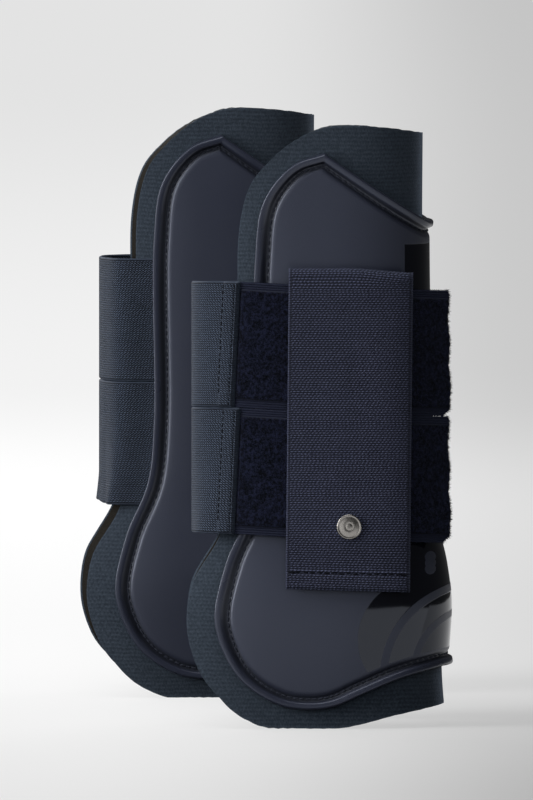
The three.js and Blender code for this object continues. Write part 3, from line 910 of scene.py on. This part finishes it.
def crossing(line, lengths, x, lateral_side):
    """The length along a strap line where it first has this x on one side of the leg."""
    ok = line[:, 1] > 0 if lateral_side else line[:, 1] < 0
    before, after = line[:-1, 0] - x, line[1:, 0] - x
    i = np.nonzero((before * after <= 0) & ok[1:])[0][0]
    t = before[i] / (before[i] - after[i]) if before[i] != after[i] else 0
    return lengths[i] + t * (lengths[i + 1] - lengths[i])


def at_seam(line, lengths, height):
    return crossing(line, lengths, SEAM_X + SEAM_LEAN * height, True)


def tail_end(line, lengths, height):
    """The cut end of the loop strip, a little uneven, with its lower corner rubbed round."""
    waver = 0.3 * math.sin(height * 0.35) + 0.12 * math.sin(height * 1.9 + 1)
    corner = TAIL_CORNER * float(smooth(height, 4 - STRAP_WIDTH / 2, -STRAP_WIDTH / 2)) ** 2
    return crossing(line, lengths, TAIL_END_X + waver - 0.02 * height - corner, True)


def elastic_face(side, _, to_end, edge, __):
    """The offset of the elastic's face: thicker over the folded end, with rounded edges."""
    half = ELASTIC_THICKNESS / 2 * rounded(edge, 0.8) * rounded(to_end, 0.9)
    if side < 0:
        return -half
    folded = smooth(to_end, ELASTIC_HEM + 0.9, ELASTIC_HEM - 0.6)
    furrows = (FURROW * np.exp(-((to_end - HEM_ROW) / 0.6) ** 2)
               + FURROW / 2 * np.exp(-((to_end - END_ROW) / 0.45) ** 2))
    hem = ELASTIC_HEM_EXTRA * folded * rounded(to_end, 1.3) * rounded(edge, 1.2)
    return half + hem - furrows * rounded(edge, 1.2)


def loop_face(side, from_start, to_end, edge, height):
    """The offset of the loop strip's face: napped between plain selvedges."""
    if side < 0:
        return (LOOP_INNER - LOOP_MIDDLE) * rounded(edge, 0.8)
    woven_face = (LOOP_WOVEN - LOOP_MIDDLE) * rounded(edge, 0.8)
    nap = smooth(edge, SELVEDGE - 0.5, SELVEDGE + 0.5) * smooth(from_start, 0, 1.2)
    tufts = (np.sin(from_start * 2.1 + height * 1.3) + np.sin(from_start * 3.7 - height * 2.9)
             + np.sin(from_start * 5.3 + height * 4.1)) / 3
    return woven_face + nap * (LOOP_NAP - LOOP_WOVEN + 0.16 * tufts) * rounded(to_end, 1.0)


def fuzz(boot, piece, roots, directions, lengths):
    """Loose fibres: thin three-sided spikes from roots along directions, bent on the way."""
    rng = np.random.default_rng(FIBRE_SEED)
    count = len(roots)
    directions = directions / np.linalg.norm(directions, axis=1)[:, None]
    aside = np.cross(directions, rng.normal(size=(count, 3)))
    aside /= np.linalg.norm(aside, axis=1)[:, None]
    other = np.cross(directions, aside)
    bend = rng.normal(0, 0.35, (count, 1)) * aside
    points = []
    for share, girth in ((0, 1.0), (0.55, 0.8)):
        centre = (roots + directions * (lengths * share)[:, None]
                  + bend * (lengths * share ** 2)[:, None])
        for k in range(3):
            turn = math.tau * k / 3
            radial = math.cos(turn) * aside + math.sin(turn) * other
            points.append(centre + FIBRE_RADIUS * girth * radial)
    points.append(roots + directions * lengths[:, None] + bend * lengths[:, None])
    points = np.stack(points, axis=1).reshape(-1, 3)
    one = [(2, 1, 0), (0, 1, 4, 3), (1, 2, 5, 4), (2, 0, 3, 5), (3, 4, 6), (4, 5, 6), (5, 3, 6)]
    faces = [tuple(7 * i + k for k in f) for i in range(count) for f in one]
    return boot.build(piece, points, faces, "loop")


def strap_fuzz(boot, piece, inner, outer):
    """Fibres that stand out of the cut tail, thinly all over the napped face and along its lower
    and upper edges."""
    rng = np.random.default_rng(FIBRE_SEED)
    rows, columns = outer.shape[:2]
    normal = outer - inner
    normal /= np.linalg.norm(normal, axis=-1)[..., None]

    count = FIBRE_COUNTS["tail"]
    j, share = rng.uniform(0, rows - 1.001, count), rng.uniform(0, 1, count)
    low = j.astype(int)
    below, above = (mix(inner[row, -1], outer[row, -1], share[:, None]) for row in (low, low + 1))
    root = mix(below, above, (j - low)[:, None])
    way = outer[rows // 2, -1] - outer[rows // 2, -4]
    way = way / np.linalg.norm(way)
    groups = [(root - way * 0.3, way + rng.normal(0, 0.55, (count, 3)),
               rng.uniform(0.5, 1.8, count))]

    count = FIBRE_COUNTS["face"]
    j = (rng.uniform(0.07, 0.93, count) * (rows - 1)).astype(int)
    i = (rng.uniform(0, 1, count) * (columns - 1.001)).astype(int)
    out = normal[j, i]
    root = outer[j, i] + rng.normal(0, 0.25, (count, 3)) * (1, 0, 1) - out * 0.1
    groups.append((root, out + rng.normal(0, 0.8, (count, 3)), rng.uniform(0.35, 0.9, count)))

    count = FIBRE_COUNTS["edge"]
    down = (outer[0] - outer[1]).mean(0)
    down = down / np.linalg.norm(down)
    for row, way in ((0, down), (rows - 1, -down)):
        i = (rng.uniform(0, 1, count) ** 0.6 * (columns - 2)).astype(int)
        root = mix(inner[row, i], outer[row, i], rng.uniform(0.3, 1, count)[:, None])
        groups.append((root, way + rng.normal(0, 0.6, (count, 3)),
                       rng.uniform(0.25, 0.7, count)))
    return fuzz(boot, piece, *(np.concatenate(column) for column in zip(*groups)))


# ---- putting one boot together ------------------------------------------------------------------


def add_elastic(boot, which):
    """The elastic and its sewn-in end. It bends where it leaves the shell."""
    middle_z = STRAPS[which]

    def start(line, lengths, height):
        x = shell_edge_x(middle_z + height) + ANCHOR_LENGTH - 2
        return crossing(line, lengths, x, False)

    grids = strap_grid(boot, middle_z, start, at_seam,
                       1 - edge_lines(ELASTIC_LENGTH, 10, 0.35, 1.5)[::-1] / ELASTIC_LENGTH,
                       both_ends(STRAP_WIDTH, 2, 0.25, 2.0), elastic_face)
    elastic = boot.solid(f"{which}_elastic_strap", *grids, "elastic")
    bend = np.array([*SWING_AT, middle_z])
    boot.name("boot")
    boot.name(f"{which}_elastic")
    tuple(boot.place(bend))
    tuple(boot.place(bend + (0, 4.5, 0)))
    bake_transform(elastic)
    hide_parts(boot.name(f"{which}_strap_elastic"), boot.name(f"{which}_strap_anchor"))
    boot.name("outer_facing")


def add_stitch_row(boot, which, name, at, furrow, jog, width, pitch, seed):
    """A stitch row across the elastic's fold, at a distance from its end. Its lowest stitches
    are nearer to the end by the jog."""
    middle_z = STRAPS[which]
    lift = ELASTIC_THICKNESS / 2 + ELASTIC_HEM_EXTRA - furrow + 0.12
    places, outs = [], []
    for height in np.arange(-STRAP_WIDTH / 2 + 1.6, STRAP_WIDTH / 2 - 1, pitch):
        line = strap_line(middle_z + height, STRAP_FRONT[boot.side])
        lengths = strap_lengths(line)
        here = at_seam(line, lengths, height) - at
        if height < -STRAP_WIDTH / 2 + 6:
            here += jog
        x, w = (np.interp(here, lengths, line[:, k]) for k in (0, 1))
        x2, w2 = (np.interp(here + 0.5, lengths, line[:, k]) for k in (0, 1))
        out = np.array([-(w2 - w), x2 - x, 0.0])
        out = out / np.linalg.norm(out)
        fall = STRAP_TILT[boot.side] * max(STRAP_TILT_FROM - w, 0)
        places.append(np.array([x, w, middle_z + height - fall]) + out * lift)
        outs.append(out)
    ways = [np.array([SEAM_LEAN, 0.0, 1.0])] * len(places)
    row = stitches(boot, f"{which}_{name}", places, ways, outs, "thread",
                   length=pitch * 0.8, width=width, height=0.42, seed=seed)
    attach(row, boot.name(f"{which}_elastic"))


def add_loop_strip(boot, which):
    """The loop strip and its loose fibres. They bend at the seam with the elastic."""
    middle_z = STRAPS[which]
    inner, outer, marks = strap_grid(
        boot, middle_z, at_seam, tail_end, np.linspace(0, 1, 170),
        both_ends(STRAP_WIDTH, 5, 0.3, 0.6), loop_face, SELVEDGE)
    strip = boot.solid(f"{which}_loop_strip", inner, outer, marks, "loop")
    fibres = strap_fuzz(boot, f"{which}_loop_fibres", inner, outer)
    seam = np.array([SEAM_X - 0.5, 36.0, middle_z])
    for piece in (strip, fibres):
        boot.name(f"{which}_elastic")
        boot.name(f"{which}_loop")
        tuple(boot.place(seam))
        tuple(boot.place(seam + (6, 0, 0)))
        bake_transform(piece)
    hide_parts(boot.name(f"{which}_strap_loop_strip"))
    boot.name("outer_shell")


def fold_height(x):
    """The height of the tape's fold, which droops a little at its tendon-side end."""
    return FLAP_TOP + 0.6 - 2.2 * smooth(x, 6, FLAP_X[1] + 4)


def flap_tilt(x, z):
    """How much lower the flap hangs towards its tendon-side lower corner."""
    return 0.032 * (x - FLAP_X[0]) * smooth(z, FLAP_BOTTOM + 30, FLAP_BOTTOM)


FOLD_TURNS = np.linspace(0, math.pi, 25)


def tape_row(kind, value, side, xs, full):
    """The w and z of one row of the tape, on its inside (0) or outside (1). full is how much of
    its thickness the tape has at each of the xs."""
    if kind == "backing":
        z = np.minimum(value, fold_height(xs))
        return lateral(xs, z, mix(BACKING_MIDDLE, BACKING[side], full)), z
    if kind == "flap":
        z = np.minimum(value, fold_height(xs)) - flap_tilt(xs, value)
        hem = HEM_EXTRA * smooth(value, HEM_TOP + 0.3, HEM_TOP - 0.5)
        furrow = FURROW * math.exp(-((value - HEM_TOP + 1) / 0.7) ** 2)
        face = FLAP[1] + hem - furrow if side else FLAP[0]
        closing = rounded(value - FLAP_BOTTOM, 1.8)
        offset = mix(FLAP_MIDDLE + 0.4 * bool(hem > 0.1), face, full * closing)
        seat = np.maximum(z, STRAPS["lower"] - STRAP_WIDTH / 2)
        return lateral(xs, seat, offset, FLAP_LIFT), z
    top = fold_height(xs)
    far = lateral(xs, top, mix(FLAP_MIDDLE, FLAP[side], full), FLAP_LIFT)
    near = lateral(xs, top, mix(BACKING_MIDDLE, BACKING[1 - side], full))
    rise = FOLD_RISE - (0 if side else 1.05) * full
    return (near + far) / 2 - (far - near) / 2 * math.cos(value), top + rise * math.sin(value)


def tape_grid(rows):
    """Grids of a piece of the folded hook tape. A row is ("backing", z) on the sewn half,
    ("fold", turn) on the fold or ("flap", z) on the flap."""
    xs = mix(*FLAP_X, both_ends(FLAP_X[1] - FLAP_X[0], 2, 0.25, 1.6))
    edge = np.minimum(xs - FLAP_X[0], FLAP_X[1] - xs)
    full = rounded(edge, 0.6)
    grids = ([], [])
    marks = []
    for kind, value in rows:
        for side in (0, 1):
            w, z = tape_row(kind, value, side, xs, full)
            lean = FLAP_LEAN * (np.minimum(z, FLAP_TOP) - FLAP_LEAN_FROM)
            grids[side].append(np.stack(np.broadcast_arrays(xs + lean, w, z), axis=-1))
        down = {"backing": 2 * FLAP_TOP - value, "flap": value,
                "fold": FLAP_TOP + 9 - value * 3}[kind]
        marks.append(np.stack([xs, np.full(len(xs), down), edge], axis=-1))
    marks = np.array(marks).reshape(-1, 3)
    return np.array(grids[0]), np.array(grids[1]), np.concatenate([marks, marks])


def add_backing(boot):
    """The sewn half of the hook tape, with half of the fold."""
    rows = [("backing", z) for z in np.linspace(BACKING_BOTTOM, FLAP_TOP - 4, 40)]
    rows += [("fold", turn) for turn in FOLD_TURNS[:13]]
    inner, outer, marks = tape_grid(rows)
    backing = boot.solid("sewn_hook_tape", outer, inner, marks, "hook_tape")
    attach(backing, boot.name("boot"))
    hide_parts(boot.name("hook_backing_tape"))
    boot.name("outer_shell")


def add_hem_stitching(boot):
    """The stitch row along the flap's hem, which turns up at both of its ends."""
    row_z = HEM_TOP - 1
    seat_z = STRAPS["lower"] - STRAP_WIDTH / 2
    lean = FLAP_LEAN * (row_z - FLAP_LEAN_FROM)
    places, ways = [], []

    def stitch_at(x, z, way):
        w = lateral(x, max(z, seat_z), FLAP[1] + HEM_EXTRA - FURROW + 0.25, FLAP_LIFT)
        places.append(np.array([x + lean, float(w), z - float(flap_tilt(x, z))]))
        ways.append(np.array(way))

    for x in np.arange(FLAP_X[0] + 2.2, FLAP_X[1] - 1.4, 2.9):
        stitch_at(x, row_z + 0.15 * math.sin(x), (1.0, 0.0, 0.0))
    for corner, sign in ((FLAP_X[0] + 1.2, 1), (FLAP_X[1] - 1.2, -1)):
        for k in range(3):
            stitch_at(corner + sign * 1.2 * k, row_z - 1.6 + 0.8 * k, (sign, 0.35, 0.7))
    outs = [np.array([0.0, 1.0, 0.0])] * len(places)
    hem = stitches(boot, "hem_stitching", places, ways, outs, "thread",
                   length=2.5, width=0.6, height=0.5, seed=5)
    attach(hem, boot.name("flap"))
    return hem


def add_flap(boot):
    """The free half of the hook tape, with the other half of the fold."""
    heights = np.concatenate([
        np.linspace(FLAP_TOP - 4, HEM_TOP + 3, 60),
        np.linspace(HEM_TOP + 2.6, HEM_TOP - 3, 20),
        np.linspace(HEM_TOP - 3.8, FLAP_BOTTOM + 2, 4),
        FLAP_BOTTOM + np.array([1.6, 1.2, 0.8, 0.5, 0.25, 0.1, 0.0])])
    rows = [("fold", turn) for turn in FOLD_TURNS[12:]] + [("flap", z) for z in heights]
    flap = boot.solid("closure_flap_tape", *tape_grid(rows), "hook_tape")
    hinge = next(j for j in frame["joints"] if j["name"] == boot.name("flap_hinge"))["pos_m"]
    boot.name("boot")
    boot.name("flap")
    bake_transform(flap)
    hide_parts(boot.name("closure_flap"))
    boot.name("upper_loop_strip")
    add_hem_stitching(boot)


def turned(profile, sides=64):
    """A lathe turned about w through the origin: points and faces."""
    points, faces = [], []
    for i, (radius, out) in enumerate(profile):
        for k in range(sides):
            turn = math.tau * k / sides
            points.append((radius * math.cos(turn), out, radius * math.sin(turn)))
        if i:
            a, b = (i - 1) * sides, i * sides
            faces += [(a + k, a + (k + 1) % sides, b + (k + 1) % sides, b + k)
                      for k in range(sides)]
    faces += [range(sides)[::-1], range(len(points) - sides, len(points))]
    return np.array(points), faces


def add_badge(boot):
    """A plain domed rivet cap with two turned lines, and its washer behind the flap."""
    x, z, r = BADGE["x"], BADGE["z"], BADGE["radius"]
    face, back = (float(lateral(x, z, offset, FLAP_LIFT)) for offset in FLAP[::-1])
    cap = [(1.6, -1.0), (1.6, 0.05), (r - 0.25, 0.05), (r, 0.3), (r, 0.7), (r - 0.12, 0.95),
           (r - 0.35, 1.1), (r - 0.6, 1.08), (r - 0.75, 0.98), (r - 1.0, 0.98), (r - 1.6, 1.08),
           (r - 2.6, 1.2), (1.7, 1.26), (1.5, 1.2), (1.35, 1.2), (1.2, 1.27), (0.6, 1.3),
           (0.05, 1.3)]
    washer = [(1.9, -0.55), (3.7, -0.55), (3.9, -0.4), (3.9, -0.15), (3.7, 0.0), (1.9, 0.0)]
    lean = FLAP_LEAN * (z - FLAP_LEAN_FROM)
    for profile, seat, name in ((cap, face + 0.25, "cap"), (washer, back - 0.35, "washer")):
        points, faces = turned(profile)
        made = boot.build(f"rivet_{name}", points + (x + lean, seat, z), faces, "metal", sharp=40)
        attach(made, boot.name("flap"))
        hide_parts(boot.name(f"badge_{name}"))


def add_liner(boot):
    """The liner's three layers. Gives the two that are cloth."""
    layers = (("lining_fabric", LINING, "lining", "inner_lining"),
              ("foam_core", CORE, "core", "neoprene_core"),
              ("facing_fabric", FACING, "facing", "outer_facing"))
    made = []
    for piece, span, cloth, node in layers:
        made.append(add_layer(boot, piece, span, cloth))
        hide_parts(boot.name(node))
    lining, core, facing = made
    return lining, facing


def add_shell(boot, grids, groove):
    """The moulded shell and the thread in its groove."""
    shell = boot.solid("moulded_shell", *grids, "shell", sharp=70)
    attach(shell, boot.name("boot"))
    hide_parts(boot.name("outer_shell"))
    thread_row = stitches(boot, "groove_stitching", *groove, "groove_thread")
    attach(thread_row, boot.name("boot"))


def add_strap(boot, which):
    add_elastic(boot, which)
    add_stitch_row(boot, which, "hem_stitching", HEM_ROW, FURROW, jog=0.9, width=0.62, pitch=2.5,
                   seed=11)
    add_stitch_row(boot, which, "end_stitching", END_ROW, FURROW / 2, jog=0, width=0.4, pitch=1.7,
                   seed=12)
    add_loop_strip(boot, which)


shell_pieces, groove_places = shell_grids(), groove_stitches()
for side in ("left", "right"):
    boot = Boot(side)
    cloths = add_liner(boot)
    add_shell(boot, shell_pieces, groove_places)
    for which in STRAPS:
        add_strap(boot, which)
    add_backing(boot)
    add_flap(boot)
    add_badge(boot)


# ---- studio: backdrop, lights and camera --------------------------------------------------------


def backdrop():
    """A wide pale floor that glows by its own emission, with painted light in the glow: brighter
    to the left, and painted shade towards the right, in front and far away.
    """
    reach = 45.0
    mesh = bpy.data.meshes.new(BACKDROP)
    corners = [(-reach, -reach, 0), (reach, -reach, 0), (reach, reach, 0), (-reach, reach, 0)]
    mesh.from_pydata(corners, [], [(0, 1, 2, 3)])
    p = Paint("pale paper", Roughness=0.9, Specular_IOR_Level=0.0, Base_Color=(0.16, 0.16, 0.16),
              Emission_Color=(1, 1, 1))
    x, y, _ = p.parts(p.node("TexCoord").outputs["Object"])
    far = p.step(y, 2.5, 8.0)
    # painted shade: the floor's glow is dimmed towards the right, less so far away
    right_shade = p.times(p.step(p.times_plus(far, -0.06, x), -0.1, 0.17), p.step(x, 1.1, 0.3))
    front = p.times(p.step(y, 0.4, -0.7), p.step(y, -2.2, -0.9))
    fade = p.times(right_shade, p.span(far, 1.0, 0.8))
    glow = p.times(p.span(fade, 0.84, 0.55), p.span(p.step(y, 0.5, 3.0), 0.94, 1.04))
    glow = p.times(glow, p.span(far, 1.0, 0.87))
    # painted shade in front, deepest at the right front corner
    corner = p.span(p.times(right_shade, right_shade), 0.24, 0.56)
    p.set("Emission Strength", p.times(glow, p.without(p.times(front, corner))))
    mesh.materials.append(p.material)
    made = bpy.data.objects.new(BACKDROP, mesh)
    made.visible_diffuse = False
    made.visible_glossy = False
    bpy.context.scene.collection.objects.link(made)


def area_light(name, place, target, size, power, lights_cloth=True, shines=True):
    """A rectangular light. One that doesn't shine is left out of glossy reflections, and one that
    doesn't light cloth is seen only in them."""
    light = bpy.data.lights.new(name, "AREA")
    light.shape = "RECTANGLE"
    light.size, light.size_y = size
    light.energy = power
    made = bpy.data.objects.new(name, light)
    made.visible_diffuse = lights_cloth
    made.visible_glossy = shines
    made.location = place
    made.rotation_euler = (Vector(target) - Vector(place)).to_track_quat("-Z", "Y").to_euler()
    bpy.context.scene.collection.objects.link(made)


def camera():
    """A long lens, almost level, square on to the left boot's lateral side."""
    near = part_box("left_outer_shell")
    distance, rise = 9.0, math.radians(2.7)
    aside, aim_height, seen_height = -0.0258, 0.1343, 0.3253
    target = Vector((Boot("left").origin[0] * MM + aside, near[0].y, aim_height))
    data = bpy.data.cameras.new("camera")
    data.sensor_width = 36
    data.lens = data.sensor_width * distance / seen_height
    data.clip_end = 100
    made = bpy.data.objects.new("camera", data)
    made.location = target + Vector((0, -math.cos(rise), math.sin(rise))) * distance
    made.rotation_euler = (target - made.location).to_track_quat("-Z", "Y").to_euler()
    bpy.context.scene.collection.objects.link(made)
    bpy.context.scene.camera = made


def sky():
    """A pale backdrop for the camera that gives the boots only a little light."""
    seen, given = 0.88, 0.05
    world = bpy.data.worlds.new("studio")
    world.use_nodes = True
    tree = world.node_tree
    background = tree.nodes["Background"]
    background.inputs["Color"].default_value = (0.97, 0.98, 1.0, 1)
    strength = tree.nodes.new("ShaderNodeMath")
    strength.operation = "MULTIPLY_ADD"
    rays = tree.nodes.new("ShaderNodeLightPath")
    tree.links.new(rays.outputs["Is Camera Ray"], strength.inputs[0])
    strength.inputs[1].default_value = seen - given
    strength.inputs[2].default_value = given
    tree.links.new(strength.outputs[0], background.inputs["Strength"])
    bpy.context.scene.world = world


backdrop()
middle = (0.0, -0.05, 0.13)
area_light("key", (-1.6, -0.85, 0.7), middle, (0.8, 1.5), 42)
area_light("top", (-0.3, -0.4, 1.5), middle, (1.2, 1.0), 11)
area_light("fill", (-2.0, -4.2, 0.7), middle, (2.8, 2.4), 28)
area_light("soft_front", (1.0, -4.0, 0.9), middle, (2.4, 2.4), 38, shines=False)
area_light("back_left", (-1.2, 1.8, 0.9), middle, (1.4, 1.2), 32)
area_light("back_right", (1.2, 1.8, 0.6), middle, (0.8, 1.2), 20, shines=False)
area_light("floor_glow", (0.1, -0.6, 0.0), (0.1, -0.6, 1.0), (1.6, 0.8), 3.8, lights_cloth=False)
area_light("floor_glow_right", (0.7, 0.6, 0.0), (0.7, 0.6, 1.0), (1.2, 1.6), 4.0,
           lights_cloth=False)
sky()
camera()
bpy.context.scene.view_settings.view_transform = "Standard"
